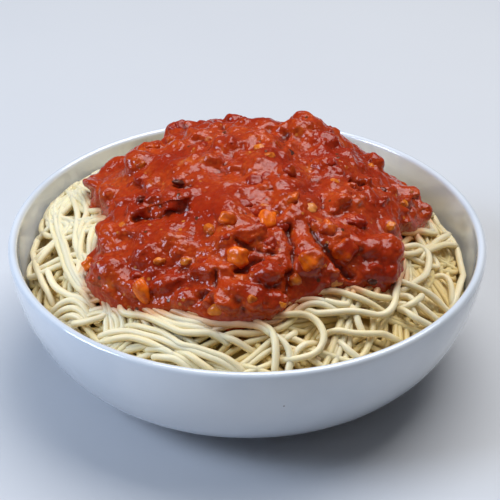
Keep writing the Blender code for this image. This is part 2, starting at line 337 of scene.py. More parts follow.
# How much lower than the heap the noodles lie by the wall, at each azimuth. They slope down to there
# from this far inside the sauce's edge, and out to this radius
WALL_DROP = ((0, 0.0020), (30, 0.0040), (90, 0.0040), (150, 0.0050), (168, 0.0035), (185, 0.0010),
             (230, 0), (330, 0), (345, 0.0005))
DROP_UNDER_SAUCE = 0.004
DROP_ENDS = 0.090
BED_SUNK = 0.0052
BED_STEPS = 96
BED_RINGS = 40

wall_radii, wall_heights = np.array(inside_wall[::-1]).T


def room_radius(height):
    """How far a thing inside the bowl may reach at this height."""
    return np.interp(height, wall_heights, wall_radii) - GAP


def round_the_bowl(stops, x, y):
    """The value at this azimuth, eased from each stop to the next."""
    degrees = np.degrees(np.arctan2(y, x)) % 360
    (last_turn, last_value), (first_turn, first_value) = stops[-1], stops[0]
    turns = np.array([last_turn - 360, *(turn for turn, _ in stops), first_turn + 360])
    values = np.array([last_value, *(value for _, value in stops), first_value])
    index = np.clip(np.searchsorted(turns, degrees, side="right") - 1, 0, len(turns) - 2)
    share = (degrees - turns[index]) / (turns[index + 1] - turns[index])
    eased = 0.5 - 0.5 * np.cos(math.pi * share)
    return values[index] + (values[index + 1] - values[index]) * eased


def heap_height(x, y):
    """The top of the heap over this place."""
    edge = RIM_HEIGHT - round_the_bowl(HEAP_EDGE, x, y)
    out = np.minimum(np.hypot(x, y) / room_radius(edge), 1)
    return edge + (RIM_HEIGHT + HEAP_TOP - edge) * (1 - out ** HEAP_POWER)


def noodle_level(x, y):
    """The top of the noodles over this place: they lie lower than the heap by the wall at the back."""
    edge = round_the_bowl(SAUCE_EDGE, x, y) - DROP_UNDER_SAUCE
    reach = np.clip((np.hypot(x, y) - edge) / (DROP_ENDS - edge), 0, 1)
    return heap_height(x, y) - round_the_bowl(WALL_DROP, x, y) * reach


def heap_body(sunk):
    """The corners and faces of the mass of noodles, with its top this far under the noodles' level."""
    turns = 2 * math.pi * np.arange(BED_STEPS) / BED_STEPS
    across, along = np.cos(turns), np.sin(turns)
    edge = RIM_HEIGHT - round_the_bowl(HEAP_EDGE, across, along)
    edge = edge - round_the_bowl(WALL_DROP, across, along) - sunk
    floor = FLOOR_LEVEL + GAP
    verts = [(0, 0, float(heap_height(np.array(0.0), np.array(0.0))) - sunk)]
    for ring in range(1, BED_RINGS + 1):
        radius = (room_radius(edge) - GAP) * math.sin(math.pi / 2 * ring / BED_RINGS)
        x, y = radius * across, radius * along
        height = np.maximum(noodle_level(x, y) - sunk, floor)
        verts.extend(zip(x.tolist(), y.tolist(), height.tolist()))
    for ring in range(1, BED_RINGS):
        height = edge - (edge - floor) * math.sin(math.pi / 2 * ring / BED_RINGS) ** WALL_FULLNESS[1]
        radius = room_radius(height) - GAP
        verts.extend(zip((radius * across).tolist(), (radius * along).tolist(), height.tolist()))
    verts.append((0, 0, floor))
    return verts, ringed_faces(BED_STEPS, 2 * BED_RINGS - 1)


def keep_on_corners(mesh, name, values):
    """Stores a value for each corner of a mesh, which its finish reads by this name."""
    layer = mesh.attributes.new(name, "FLOAT", "POINT")
    layer.data.foreach_set("value", values)


NOODLE_PALE = (0.86, 0.755, 0.515)
# The warm tone differs from noodle to noodle at random, and is also the painted shade on each noodle's
# lower side
NOODLE_WARM_TONE_AND_SHADE = (0.81, 0.64, 0.29)
# Painted shade for noodles that lie deep in the pile, and for the bed under them
NOODLE_PAINTED_SHADE = (0.75, 0.55, 0.215)
SAUCE_STAIN = (0.62, 0.17, 0.03)

noodle = Finish("cooked_noodle")
painted_underside_shade = noodle.attribute("underside_shade")
which_noodle = noodle.attribute("which")
painted_shade_below = noodle.attribute("depth")
stain_on_noodle = noodle.attribute("stain")
starch = noodle.mottle(260.0, 3.0)
grain = noodle.mottle(1400.0, 2.0)
patches = noodle.mottle(70.0, 2.0)
warmth = (which_noodle * 0.5 + patches * 0.7 - 0.25).between(0.0, 1.1)
tone = noodle.blend(NOODLE_PALE, NOODLE_WARM_TONE_AND_SHADE, warmth)
# Painted shade: the lower sides of each noodle are painted warmer and darker
tone = noodle.blend(tone, NOODLE_WARM_TONE_AND_SHADE, painted_underside_shade.between(0.20, 0.80) * 0.85)
# Painted shade: a noodle lying deep in the pile is painted darker and warmer
tone = noodle.blend(tone, NOODLE_PAINTED_SHADE, painted_shade_below.between(0.15, 1.0) * 0.85)
smear = (stain_on_noodle + patches * 0.9 - 0.85).between(0.0, 0.7)
noodle_material = noodle.make(
    Base_Color=noodle.blend(tone, SAUCE_STAIN, smear * 0.6),
    Roughness=0.22 + starch * 0.18,
    IOR=1.36,
    Subsurface_Weight=0.30,
    Subsurface_Radius=(1.0, 0.80, 0.50),
    Subsurface_Scale=0.0016,
    Normal=noodle.relief(starch + grain * 0.25, 0.00010, 0.7),
)
bed_verts, bed_faces = heap_body(BED_SUNK)
bed = mesh_piece("bed_of_noodles", bed_verts, bed_faces, noodle_material)
# The bed is painted all over in the noodles' painted shade
keep_on_corners(bed.data, "depth", [1.0] * len(bed_verts))
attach(bed, "root")
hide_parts("spaghetti")


# The loose noodles: cooked soft, each under 3 mm thick and a hand's span or more long. They fall in
# waves and curls, alone or a few side by side, and each lies on those that fell before it.
NOODLE_RADIUS = 0.00135
NOODLE_PITCH = 2.05 * NOODLE_RADIUS
WALL_TOUCH = 0.4 * NOODLE_RADIUS
# The pile is a height for each cell of this size, out to half a grid each way
CELL = 0.0005
HALF_GRID = 0.0965
# A noodle is laid in steps of a walk, some at once, and can lie on itself this many steps further on
WALK = 0.001
LAID_AT_ONCE = 4
STEPS_OLDER = 7
# It bridges a gap over this many steps, sinks in a little, and dips at its ends over this length
BRIDGED_STEPS = 15
SINKS_IN = 0.0005
DIP_LENGTH = 0.009
# Above its highest level, it keeps this share of its height, and the rest is pressed out of it
PRESSED = 0.30
# The radius that it bends to over a gap, and the steps that its bends are eased over, first and again
LIMP = (0.006, 1.8)
SUPPLE = (0.010, 2.4)
SECOND_EASE = 0.6
ANY_DEPTH = -1.0

axis = np.linspace(-HALF_GRID, HALF_GRID, int(round(2 * HALF_GRID / CELL)) + 1)
grid_x, grid_y = np.meshgrid(axis, axis, indexing="ij")
pile = noodle_level(grid_x, grid_y) - BED_SUNK
foot_cells = int(math.ceil(NOODLE_RADIUS / CELL))
foot_i, foot_j = np.meshgrid(*(np.arange(-foot_cells, foot_cells + 1),) * 2, indexing="ij")
foot_reach = CELL * np.hypot(foot_i, foot_j)
under = foot_reach < NOODLE_RADIUS
foot_i, foot_j, foot_reach = foot_i[under], foot_j[under], foot_reach[under]
dome = np.sqrt(NOODLE_RADIUS ** 2 - foot_reach ** 2)


def cells_under(x, y):
    """The cells of the pile that a noodle covers at each of its steps."""
    i = np.clip(np.rint((x + HALF_GRID) / CELL).astype(int), foot_cells, len(axis) - foot_cells - 1)
    j = np.clip(np.rint((y + HALF_GRID) / CELL).astype(int), foot_cells, len(axis) - foot_cells - 1)
    return i[:, None] + foot_i, j[:, None] + foot_j


def blur(values, width):
    """Values along a noodle, smoothed over this many steps each way."""
    reach = int(3 * width)
    weights = np.exp(-0.5 * (np.arange(-reach, reach + 1) / width) ** 2)
    padded = np.pad(values, reach, mode="edge")
    return np.convolve(padded, weights / weights.sum(), mode="valid")


def keep_in_bowl(x, y, height):
    """Pushes a noodle that leans on the wall back inside it."""
    reach = np.hypot(x, y)
    room = room_radius(np.minimum(height, RIM_HEIGHT) - WALL_TOUCH) - NOODLE_RADIUS
    share = np.minimum(1, room / np.maximum(reach, 1e-6))
    return x * share, y * share


def let_fall(x, y, dips, lowest, highest, bend, ease):
    """Lays a noodle on the pile: it rests on what is under it, bends only so far, and joins the pile."""
    x, y = keep_in_bowl(x, y, noodle_level(x, y))
    trial = pile.copy()
    rest = np.zeros(len(x))
    under_i, under_j = cells_under(x, y)
    for start in range(0, len(x), LAID_AT_ONCE):
        part = slice(start, start + LAID_AT_ONCE)
        rest[part] = (trial[under_i[part], under_j[part]] + dome).max(axis=1)
        last = start + LAID_AT_ONCE - STEPS_OLDER
        if last > 0:
            done = slice(max(0, last - LAID_AT_ONCE), last)
            np.maximum.at(trial, (under_i[done], under_j[done]), rest[done, None] + dome)
    lifted = rest.copy()
    for step in range(1, BRIDGED_STEPS + 1):
        fall = (step * WALK) ** 2 / (2 * bend)
        lifted[step:] = np.maximum(lifted[step:], rest[:-step] - fall)
        lifted[:-step] = np.maximum(lifted[:-step], rest[step:] - fall)
    height = blur(lifted, ease)
    height = blur(np.maximum(height, rest - SINKS_IN), SECOND_EASE * ease)
    ceiling = noodle_level(x, y) + highest
    height = np.where(height > ceiling, ceiling + PRESSED * (height - ceiling), height)
    height = np.maximum(height, noodle_level(x, y) + lowest)
    steps = np.arange(len(x))
    for depth, away in zip(dips, (steps, steps[::-1])):
        height = height - depth * np.clip(1 - away * WALK / DIP_LENGTH, 0, 1) ** 2
    x, y = keep_in_bowl(x, y, height)
    under_i, under_j = cells_under(x, y)
    np.maximum.at(pile, (under_i, under_j), height[:, None] + dome)
    return np.stack([x, y, height], axis=1)


CUTS_PER_SPAN = 16
FEWEST_STEPS = 4


def even_steps(points):
    """A smooth line through these points, cut into even steps of a walk."""
    points = np.asarray(points, dtype=float)
    padded = np.vstack([2 * points[0] - points[1], points, 2 * points[-1] - points[-2]])
    fine = []
    for index in range(len(points) - 1):
        before, start, end, after = padded[index:index + 4]
        share = np.linspace(0, 1, CUTS_PER_SPAN, endpoint=False)[:, None]
        fine.append(0.5 * (2 * start + (end - before) * share
                    + (2 * before - 5 * start + 4 * end - after) * share ** 2
                    + (3 * start - before - 3 * end + after) * share ** 3))
    fine = np.vstack([*fine, points[-1:]])
    lengths = np.concatenate([[0], np.cumsum(np.linalg.norm(np.diff(fine, axis=0), axis=1))])
    marks = np.linspace(0, lengths[-1], max(FEWEST_STEPS, int(lengths[-1] / WALK)))
    return np.stack([np.interp(marks, lengths, part) for part in fine.T], axis=1)


# How much a noodle's thickness wavers, how fast along it, and how far apart two noodles are in this
WAVERS = ((0.035, 0.21, 40), (0.02, 0.53, 90))
FLATTENED = 0.95
# How far past its end a noodle goes, and how thick it is there, as shares of its radius
END_TIP = (0.75, 0.45)
END_SHOULDER = (0.45, 0.80)
# A noodle is painted in shade below a level over the pile, and is stained next to the sauce
SHADE_PAINTED_BELOW = 0.0012
SHADE_PAINTED_RANGE = 0.0042
STAIN_REACH = 0.0045


class Strands:
    """Noodles of one piece, gathered until the piece is made."""

    def __init__(self, sides):
        self.sides = sides
        self.verts, self.faces = [], []
        self.attributes = {"underside_shade": [], "which": [], "depth": [], "stain": []}

    def add(self, path, which, thickness):
        """One noodle along a path, slightly uneven in thickness, with rounded ends."""
        tangents = np.gradient(path, axis=0)
        tangents /= np.linalg.norm(tangents, axis=1)[:, None]
        ahead = np.cross(tangents, (0, 0, 1.0))
        ahead /= np.maximum(np.linalg.norm(ahead, axis=1), 1e-9)[:, None]
        over = np.cross(ahead, tangents)
        steps = np.arange(len(path))
        wave = np.ones(len(path))
        for amount, pace, shift in WAVERS:
            wave += amount * np.sin(steps * pace + shift * which)
        radius = NOODLE_RADIUS * thickness * wave
        rings = [(path[0] - tangents[0] * radius[0] * reach, 0, radius[0] * size)
                 for reach, size in (END_TIP, END_SHOULDER)]
        rings += [(path[index], index, radius[index]) for index in steps]
        rings += [(path[-1] + tangents[-1] * radius[-1] * reach, -1, radius[-1] * size)
                  for reach, size in (END_SHOULDER, END_TIP)]
        first = len(self.verts)
        turns = 2 * math.pi * np.arange(self.sides) / self.sides
        for middle, index, size in rings:
            ring = (middle + size * (np.cos(turns)[:, None] * ahead[index]
                    + FLATTENED * np.sin(turns)[:, None] * over[index]))
            self.verts.extend(ring.tolist())
            x, y, z = middle
            # Painted shade: how far this ring lies below the pile's level, which darkens its colour
            buried_shade = (noodle_level(np.array(x), np.array(y)) + SHADE_PAINTED_BELOW - z) / SHADE_PAINTED_RANGE
            reach = math.hypot(x, y) - float(round_the_bowl(SAUCE_EDGE, np.array(x), np.array(y)))
            stain = min(1, max(0, 1 - reach / STAIN_REACH))
            # Painted shade: the lower side of each ring is marked to be painted warmer and darker
            self.attributes["underside_shade"].extend((0.5 - 0.5 * np.sin(turns)).tolist())
            for name, value in (("which", which), ("depth", float(buried_shade)), ("stain", stain)):
                self.attributes[name].extend([value] * self.sides)
        for ring in range(len(rings) - 1):
            near, far = first + ring * self.sides, first + (ring + 1) * self.sides
            for side in range(self.sides):
                beside = (side + 1) % self.sides
                self.faces.append((near + side, near + beside, far + beside, far + side))
        self.faces.append(tuple(range(first + self.sides - 1, first - 1, -1)))
        last = first + (len(rings) - 1) * self.sides
        self.faces.append(tuple(range(last, last + self.sides)))

    def piece(self, name):
        """Puts the piece in the scene, with what its finish reads from it."""
        made = mesh_piece(name, self.verts, self.faces, noodle_material)
        for attribute, values in self.attributes.items():
            keep_on_corners(made.data, attribute, values)
        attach(made, "root")
        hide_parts("spaghetti")


# A wavy noodle: its length and steps, where along it the chosen place is, its waves, how far they swing
# between the sauce and the wall, how soon it comes out from under the sauce, from how far under, and
# the radius at which the level by the wall is read
WAVY_LENGTH = (0.10, 0.24)
WAVY_STEP = 0.002
WAVY_MIDDLE = (0.3, 0.7)
WAVE_LENGTH = (0.028, 0.070)
WAVE_SWING = (-0.30, 0.30)
COMES_OUT = 1.6
UNDER_SAUCE = 0.009
BY_THE_WALL = 0.088


def wave_path(draw, through):
    """A noodle that comes out from under the sauce, waves through this place and goes back under."""
    count = int(draw.uniform(*WAVY_LENGTH) / WAVY_STEP)
    middle = int(draw.uniform(*WAVY_MIDDLE) * count)
    wave, swing = draw.uniform(*WAVE_LENGTH), draw.uniform(*WAVE_SWING)
    place = [None] * count
    for way, steps in ((1, range(middle, count)), (-1, range(middle, -1, -1))):
        azimuth = math.atan2(through[1], through[0])
        for step in steps:
            x, y = math.cos(azimuth), math.sin(azimuth)
            edge = float(round_the_bowl(SAUCE_EDGE, x, y)) - UNDER_SAUCE
            level = noodle_level(BY_THE_WALL * x, BY_THE_WALL * y)
            outer = float(room_radius(level)) - NOODLE_RADIUS
            out = min(1, COMES_OUT * math.sin(math.pi * (step + 0.5) / count))
            share = (math.hypot(*through) - edge) / (outer - edge)
            where = out * (share + swing * math.sin(2 * math.pi * (step - middle) * WAVY_STEP / wave))
            radius = edge + (outer - edge) * min(max(where, 0), 1)
            place[step] = (radius * x, radius * y)
            azimuth += way * WAVY_STEP / radius
    return place


# A curled noodle: the radius of its curl, how far out its middle is, how much it opens as it goes, how
# flat it lies, the points along it and the turn from each to the next
CURL_SIZE = (0.0065, 0.013)
CURL_PLACE = (0.072, 0.084)
CURL_OPENS = (-0.25, 0.45)
CURL_FLATNESS = (0.55, 0.9)
CURL_POINTS = (14, 26)
CURL_TURN = 0.38


def curl_path(draw):
    """A noodle that is curled on itself once or more."""
    azimuth = draw.uniform(0, 2 * math.pi)
    size = draw.uniform(*CURL_SIZE)
    middle = draw.uniform(*CURL_PLACE)
    turn, way = draw.uniform(0, 2 * math.pi), draw.choice((-1, 1))
    growth = draw.uniform(*CURL_OPENS)
    flat, lean = draw.uniform(*CURL_FLATNESS), draw.uniform(0, math.pi)
    count = int(draw.uniform(*CURL_POINTS))
    place = []
    for step in range(count):
        reach = size * (1 + growth * step / count)
        across, along = reach * math.cos(turn), flat * reach * math.sin(turn)
        place.append((middle * math.cos(azimuth) + across * math.cos(lean) - along * math.sin(lean),
                      middle * math.sin(azimuth) + across * math.sin(lean) + along * math.cos(lean)))
        turn += way * CURL_TURN
    return place


LOOKS = 200


def deepest_place(draw, behind):
    """Where the pile is lowest, of some places picked at random beyond this line, and how low it is."""
    found, lowest = None, math.inf
    for _ in range(LOOKS):
        pick = draw.randrange(len(ring_i))
        i, j = ring_i[pick], ring_j[pick]
        depth = float(pile[i - 2:i + 3:2, j - 2:j + 3:2].mean() - level_grid[i, j])
        if axis[j] > behind and depth < lowest:
            found, lowest = (float(axis[i]), float(axis[j])), depth
    return found, lowest


DRIFT = 0.0009
DRIFT_PACE = (0.04, 0.09)


def beside_path(points, shift, draw):
    """The path of a noodle beside another, a little nearer to it here and further there."""
    slopes = np.gradient(points, axis=0)
    slopes /= np.maximum(np.linalg.norm(slopes, axis=1), 1e-9)[:, None]
    side = np.stack([-slopes[:, 1], slopes[:, 0]], axis=1)
    steps = np.arange(len(points))
    drift = DRIFT * np.sin(steps * draw.uniform(*DRIFT_PACE) + draw.uniform(0, 6))
    return points + side * (shift + drift)[:, None]


FILLS = (
    # metres laid at most, how many side by side, how high they lie, and the depth that ends the layer
    (4.6, (4, 5, 6), -0.0036, -0.0042),
    (5.4, (1, 2), -0.0034, -0.0042),
    (4.4, (1, 1, 2, 3), -0.0014, -0.0010),
)
CURLED = 0.08
ANYWHERE = -1
SHOWN_UNDER_SAUCE = 0.002
RISES_AT_SAUCE = 0.0026
RISE_LENGTH = 0.006
UNDER_DIPS = (0.004, 0.004)
UNDER_THICKNESS = (0.93, 1.03)

level_grid = noodle_level(grid_x, grid_y)
from_middle = np.hypot(grid_x, grid_y)
shown = from_middle > round_the_bowl(SAUCE_EDGE, grid_x, grid_y) - SHOWN_UNDER_SAUCE
shown &= from_middle < room_radius(level_grid - BED_SUNK) - 1.5 * NOODLE_RADIUS
ring_i, ring_j = np.nonzero(shown)
under_noodles = Strands(7)
draw = random.Random(5)
for most, sizes, top, covered in FILLS:
    laid = 0.0
    deepest, depth = deepest_place(draw, ANYWHERE)
    while laid < most and depth < covered:
        curled = draw.random() < CURLED
        path = even_steps(curl_path(draw) if curled else wave_path(draw, deepest))
        size = draw.choice(sizes)
        for member in range(size):
            points = beside_path(path, (member - (size - 1) / 2) * NOODLE_PITCH, draw)
            x, y = points.T
            reach = np.hypot(x, y) - round_the_bowl(SAUCE_EDGE, x, y)
            highest = top + RISES_AT_SAUCE * np.clip(1 - reach / RISE_LENGTH, 0, 1)
            fallen = let_fall(x, y, UNDER_DIPS, ANY_DEPTH, highest, *LIMP)
            under_noodles.add(fallen[::2], draw.random(), draw.uniform(*UNDER_THICKNESS))
            laid += WALK * len(points)
        deepest, depth = deepest_place(draw, ANYWHERE)
under_noodles.piece("noodles_below")

# The noodles behind the sauce: they are laid by rule as well, but higher and less pressed
BACK_METRES = 2.6
BACK_FROM = 0.034
BACK_SIZES = (1, 2, 2, 3)
BACK_DIPS = (0.003, 0.003)
BACK_LOWEST = -0.0010
BACK_HIGHEST = 0.0020
BACK_THICKNESS = (0.97, 1.04)

back_noodles = Strands(9)
laid = 0.0
while laid < BACK_METRES:
    path = even_steps(wave_path(draw, deepest_place(draw, BACK_FROM)[0]))
    for member in range(draw.choice(BACK_SIZES)):
        points = beside_path(path, member * NOODLE_PITCH, draw) if member else path
        fallen = let_fall(*points.T, BACK_DIPS, BACK_LOWEST, BACK_HIGHEST, *SUPPLE)
        back_noodles.add(fallen, draw.random(), draw.uniform(*BACK_THICKNESS))
        laid += WALK * len(points)
back_noodles.piece("noodles_behind")


# The noodles on top, which run out from under the sauce to the wall. Each is sighted point by point
# and lies on the noodles under it; the ones that are cut short show their ends.
SIGHT_LIFT = 0.0015
FOOD_REACHES = np.linspace(0.50, 0.80, 1500)
TOP_DIP = 0.0030
TOP_LOWEST = -0.0006
TOP_HIGHEST = 0.0024
TOP_PALENESS = 0.7
TOP_THICKNESS = (0.98, 1.04)


def on_heap(across, down):
    """The place on the heap that is sighted at a point of the picture."""
    places = along_sight(across, down, FOOD_REACHES)
    below = places[:, 2] < noodle_level(places[:, 0], places[:, 1]) + SIGHT_LIFT
    return places[int(np.argmax(below))][:2]


TOP_NOODLES = (
    # left side, from the wall inwards
    ((35.2, 239.4), (33, 252.4), (36.3, 269.7), (43.8, 287), (54.7, 301.2)),
    ((48.2, 267.6), (49.3, 278.4), (55.8, 289.2), (66.6, 296.8), (80.7, 302.2), (93.7, 305.5)),
    ((74.2, 183), (61.2, 184), (51.4, 191.7), (47, 205.8), (46, 222)),
    ((92, 203), (85, 197.1), (72, 191.7), (61.2, 196), (53.6, 209), (51.4, 224.2), (54.7, 239.4),
     (61.2, 256.7), (65.5, 270.8), (74.2, 287), (85, 299), (94.8, 306.6)),
    ((90, 212), (80, 204), (71, 203), (64, 212), (61, 226), (63, 241), (68, 257), (73, 272), (81, 286),
     (90, 297)),
    ((64, 199), (57, 209), (57, 224), (60, 240), (66, 257), (71, 273), (79, 288), (88, 299)),
    ((95, 190), (81, 196), (85, 206), (87.2, 216.6), (84, 226.4), (80, 238), (84, 250)),
    ((112, 220), (106.7, 223.1), (93.7, 226.4), (85, 235), (81.8, 243.7), (80.7, 254.6), (84, 266)),
    ((60, 318.5), (68, 317), (78, 317.5), (86, 320.5)),
    ((55, 315), (63, 311.5), (74, 311), (83, 314), (89, 319)),
    ((53, 311.5), (61, 306.5), (72, 305), (83, 308.5), (90, 315)),
    ((108.9, 308.8), (102.4, 319.6), (89.4, 326), (74.2, 328.3)),
    ((113, 320), (112, 331)),
    ((109, 229), (102, 232), (97.5, 240), (95, 250), (92, 259)),
    ((102, 222), (96, 229), (91.5, 239), (90, 250), (90, 262)),
    ((60, 190), (68, 198), (75, 207), (78, 219), (77, 232), (76, 247), (81, 263)),
    # front, from the wall inwards
    ((157, 309.4), (171.4, 320.6), (184.7, 326.7), (202, 332.9), (217.3, 338), (232.7, 342), (253, 345)),
    ((100, 333.9), (115.3, 334.9), (130.6, 334.9), (145.9, 338), (161.2, 342), (176.5, 348.2),
     (191.8, 353.3), (207, 358.4), (222.4, 363.5), (237.8, 368.6)),
    ((104, 341), (118, 342), (133, 342), (147, 346), (160, 351), (173, 357), (187, 362), (200, 366)),
    ((148, 348), (157, 351), (171.4, 357), (183.7, 362.4)),
    ((154, 355), (166, 360.4), (181.6, 364.5), (191.8, 367.6)),
    ((176.5, 350), (186.7, 357), (197, 364.5), (207, 368.6), (217.3, 370.6)),
    ((125.5, 323.7), (133.7, 326.7), (146, 330.8), (161.2, 334.9), (171.4, 341), (181.6, 348.2),
     (197, 351.2), (212, 356.3), (227.6, 361.4), (242.9, 367.6)),
    ((218, 337), (206, 333.4), (191.8, 331.8), (177.6, 329.8), (166.3, 325.7), (157, 320.6), (148, 313.5),
     (138.8, 308.2), (130.6, 305.5), (123.6, 307), (120.8, 312), (123.5, 317.2), (130.6, 318.6),
     (140.8, 319.6), (151, 323.7), (161.2, 328.8), (171.4, 333.9), (181.6, 338), (197, 339), (212, 339),
     (227.6, 343)),
    ((138, 300), (143, 305), (153, 311), (164, 318), (176, 323), (190, 325.5), (204, 327), (217, 331)),
    ((270, 310), (283, 307), (295, 304), (310, 303), (325, 305), (340, 310), (352, 313)),
    ((290, 316), (302, 310), (316, 308), (330, 311), (345, 315)),
    ((400, 292), (408, 297), (414, 304), (424, 311), (436, 316)),
    ((396, 300), (404, 303), (412, 309), (417, 318)),
    ((297, 302), (311.4, 297), (324.7, 294.3), (337, 294.3), (352, 299.4), (367.6, 304.5), (382.9, 308.6)),
    ((340, 289), (352, 290), (357.3, 293.3), (367.6, 297.3), (377.8, 300.4), (389, 302.4)),
    ((351.2, 304.5), (355.3, 313.7), (358.4, 323.9), (362.4, 331)),
    ((338, 337), (344, 345), (350, 350.4), (358.4, 355.5)),
    ((317.6, 337), (305.3, 345.3), (295, 353.5), (291, 360.6)),
    ((295, 325), (294, 330), (288, 335), (281, 338)),
    ((318, 329), (324.7, 329), (337, 332), (352.2, 335.6), (367.6, 336.6), (382.9, 336), (400, 333)),
    ((325.7, 305.5), (337, 308.6), (347, 309.6)),
    ((300, 309), (309, 313), (317.6, 317.8), (331.8, 316.7), (347, 315.7), (362.4, 316.7), (377.8, 318.8),
     (388, 315.7), (394, 307.6), (396.5, 291.2), (399.8, 278.8), (402.3, 270.5), (403, 258)),
    ((160, 303), (170.4, 311.4), (181.6, 316.5), (191.8, 321.6), (207, 325.7), (222.4, 327.8),
     (242.9, 327.8), (260.4, 331), (270.6, 337), (280.8, 343.3), (288, 351.4), (290, 361.6), (288, 369)),
    ((184.7, 309.4), (191.8, 314.5), (202, 317.6), (222.4, 319.6), (242.9, 319.6), (250, 322.9),
     (260.4, 328), (270.6, 335), (274.7, 345.3), (275.7, 357.6), (274.7, 369)),
    ((250, 326), (262.4, 321.8), (275.7, 319.8), (291, 317.8), (303.3, 317.8), (313.5, 322.9), (320.6, 331),
     (323.7, 341.2), (320.6, 350.4), (313.5, 356.5), (303.3, 360.6), (293, 361.6), (282, 358)),
    # right side, from the wall inwards
    ((457.8, 236.5), (463.6, 246.4), (465.3, 258), (464.5, 270.5), (460.3, 282.9), (456.2, 295.4),
     (451.2, 304.5)),
    ((428.8, 249.8), (439.6, 243.1), (449.6, 239.8), (456.2, 235.7)),
    ((412, 222), (421.4, 222.4), (434.6, 220.7), (441.3, 224.9), (447, 230.7), (457.8, 233.2)),
    ((433, 270.5), (441.3, 274.6), (447.9, 281.3), (451.2, 289.6), (452, 299.5)),
    ((420, 258), (428.8, 254.7), (437, 251.4), (447, 249.8), (457, 251.4), (460.3, 258)),
    ((399.8, 307), (406.4, 314.4), (413.9, 321.9), (422.2, 325.2), (430.5, 325.2)),
    ((401.5, 307), (411.4, 307), (418, 303.6), (421.4, 300.3)),
    ((392, 276), (399.8, 282.9), (409.8, 289.6), (422.2, 295.4), (434.6, 301.2), (446.2, 307.8)),
    ((398, 244), (406.4, 247.3), (418, 249.8), (426.3, 256.4), (428.8, 264.7), (426.3, 274.6),
     (419.7, 282.9), (411.4, 287.9), (402, 289)),
)
# The cut ends that can be seen, which don't dip
SHOWN_ENDS = ((74.2, 328.3), (389, 302.4), (325.7, 305.5), (347, 309.6), (184.7, 309.4), (421.4, 300.3))

top_noodles = Strands(10)
draw = random.Random(9)
for sighted in TOP_NOODLES:
    path = even_steps([on_heap(*point) for point in sighted])
    dips = [0 if end in SHOWN_ENDS else TOP_DIP for end in (sighted[0], sighted[-1])]
    fallen = let_fall(*path.T, dips, TOP_LOWEST, TOP_HIGHEST, *SUPPLE)
    top_noodles.add(fallen, draw.random() * TOP_PALENESS, draw.uniform(*TOP_THICKNESS))
top_noodles.piece("noodles_on_top")


# The sauce: crushed tomato cooked down thick with minced bits, ladled over the middle so that it
# slumps in lobes towards the wall. It holds lumps of every size, all wet and coated with itself.
SAUCE_BLUNTNESS = 0.50
SAUCE_SWELL = 0.0050
SAUCE_SWELL_SIZE = 0.016
SAUCE_SUNK = 0.0040
SAUCE_STEPS = 144
SAUCE_RINGS = 44
UNDERSIDE_COARSER = 4
SAUCE_VOXEL = 0.00076
# How thick it lies over the middle of the heap, and towards each azimuth in degrees
SAUCE_MIDDLE = 0.0150
SAUCE_THICKNESS = ((0, 0.0150), (50, 0.0150), (100, 0.0150), (140, 0.0106), (180, 0.0125), (215, 0.0138),
                   (270, 0.0150), (320, 0.0150))
# How much its edge wavers, then how fast round the bowl, in which layer of the noise, and by what share
EDGE_WAVER = 0.0016
EDGE_WAVES = ((4.5, 2.0, 1.0), (11, 7, 0.5))
# A mound behind, on the right: its place, its spread and its height
SAUCE_MOUND = (0.0315, 0.0365, 0.0110, 0.0072)
LUMP_FAMILIES = (
    # how many, smallest and largest radius, how deep each is sunk
    (28, 0.0060, 0.0095, 0.45),
    (85, 0.0032, 0.0055, 0.35),
    (420, 0.0012, 0.0025, 0.15),
)
SIGHTED_LUMPS = (
    # across and down in the picture, half width and half height there, how far it stands up
    (112, 194, 14, 12, 0.5), (97, 205, 9, 10, 0.4), (130, 203, 16, 7, 0.7), (146, 204, 10, 7, 1.0),
    (158, 200, 10, 6, 1.0), (171, 197, 10, 6, 1.0), (183, 195, 8, 6, 0.8), (110, 272, 22, 14, 0.6),
    (168, 284, 17, 9, 0.6), (242, 237, 24, 9, 0.9), (217, 271, 19, 11, 0.6), (231, 291, 28, 12, 0.7),
    (204, 135, 18, 9, 0.2), (170, 140, 10, 8, 0.4), (234, 121, 10, 10, 0.8), (245, 126, 8, 10, 0.6),
    (212, 161, 11, 8, 0.7), (236, 168, 12, 8, 0.6), (266, 127, 21, 11, 0.6), (292, 130, 20, 11, 0.7),
    (328, 139, 12, 10, 0.7),
    (374, 166, 10, 12, 0.9), (362, 183, 12, 8, 0.5), (387, 191, 12, 7, 0.3), (402, 202, 12, 9, 0.6),
    (423, 212, 11, 11, 0.7), (332, 186, 10, 8, 0.5), (352, 188, 10, 8, 0.5), (339, 202, 12, 9, 0.8),
    (378, 250, 21, 20, 0.6), (388, 270, 13, 12, 0.5), (267, 275, 19, 15, 0.7), (251, 298, 14, 13, 0.6),
    (272, 302, 16, 12, 0.5), (147, 255, 16, 12, 0.4), (185, 250, 14, 8, 0.5), (120, 235, 14, 9, 0.4),
    (352, 220, 12, 8, 0.4), (286, 222, 9, 10, 0.4), (312, 262, 13, 11, 0.8), (330, 270, 10, 6, 0.3),
    (300, 245, 10, 9, 0.5), (140, 290, 12, 10, 0.5), (186, 298, 13, 10, 0.5),
)
PIXELS_A_METRE = 2550.0


def sauce_top(x, y):
    """The top of the sauce, before its lumps, over these places."""
    edge = round_the_bowl(SAUCE_EDGE, x, y)
    out = np.minimum(np.hypot(x, y) / edge, 1)
    swell_x, swell_y = np.ravel(x / SAUCE_SWELL_SIZE), np.ravel(y / SAUCE_SWELL_SIZE)
    swell = np.array([noise.noise(Vector((*place, 0))) for place in zip(swell_x, swell_y)])
    fade = np.sqrt(1 - out * out) ** SAUCE_BLUNTNESS
    thickness = round_the_bowl(SAUCE_THICKNESS, x, y) * out + SAUCE_MIDDLE * (1 - out)
    mound_x, mound_y, spread, height = SAUCE_MOUND
    away = (x - mound_x) ** 2 + (y - mound_y) ** 2
    thickness = thickness + height * np.exp(-away / (2 * spread ** 2))
    return heap_height(x, y) + (thickness + SAUCE_SWELL * swell.reshape(np.shape(x))) * fade


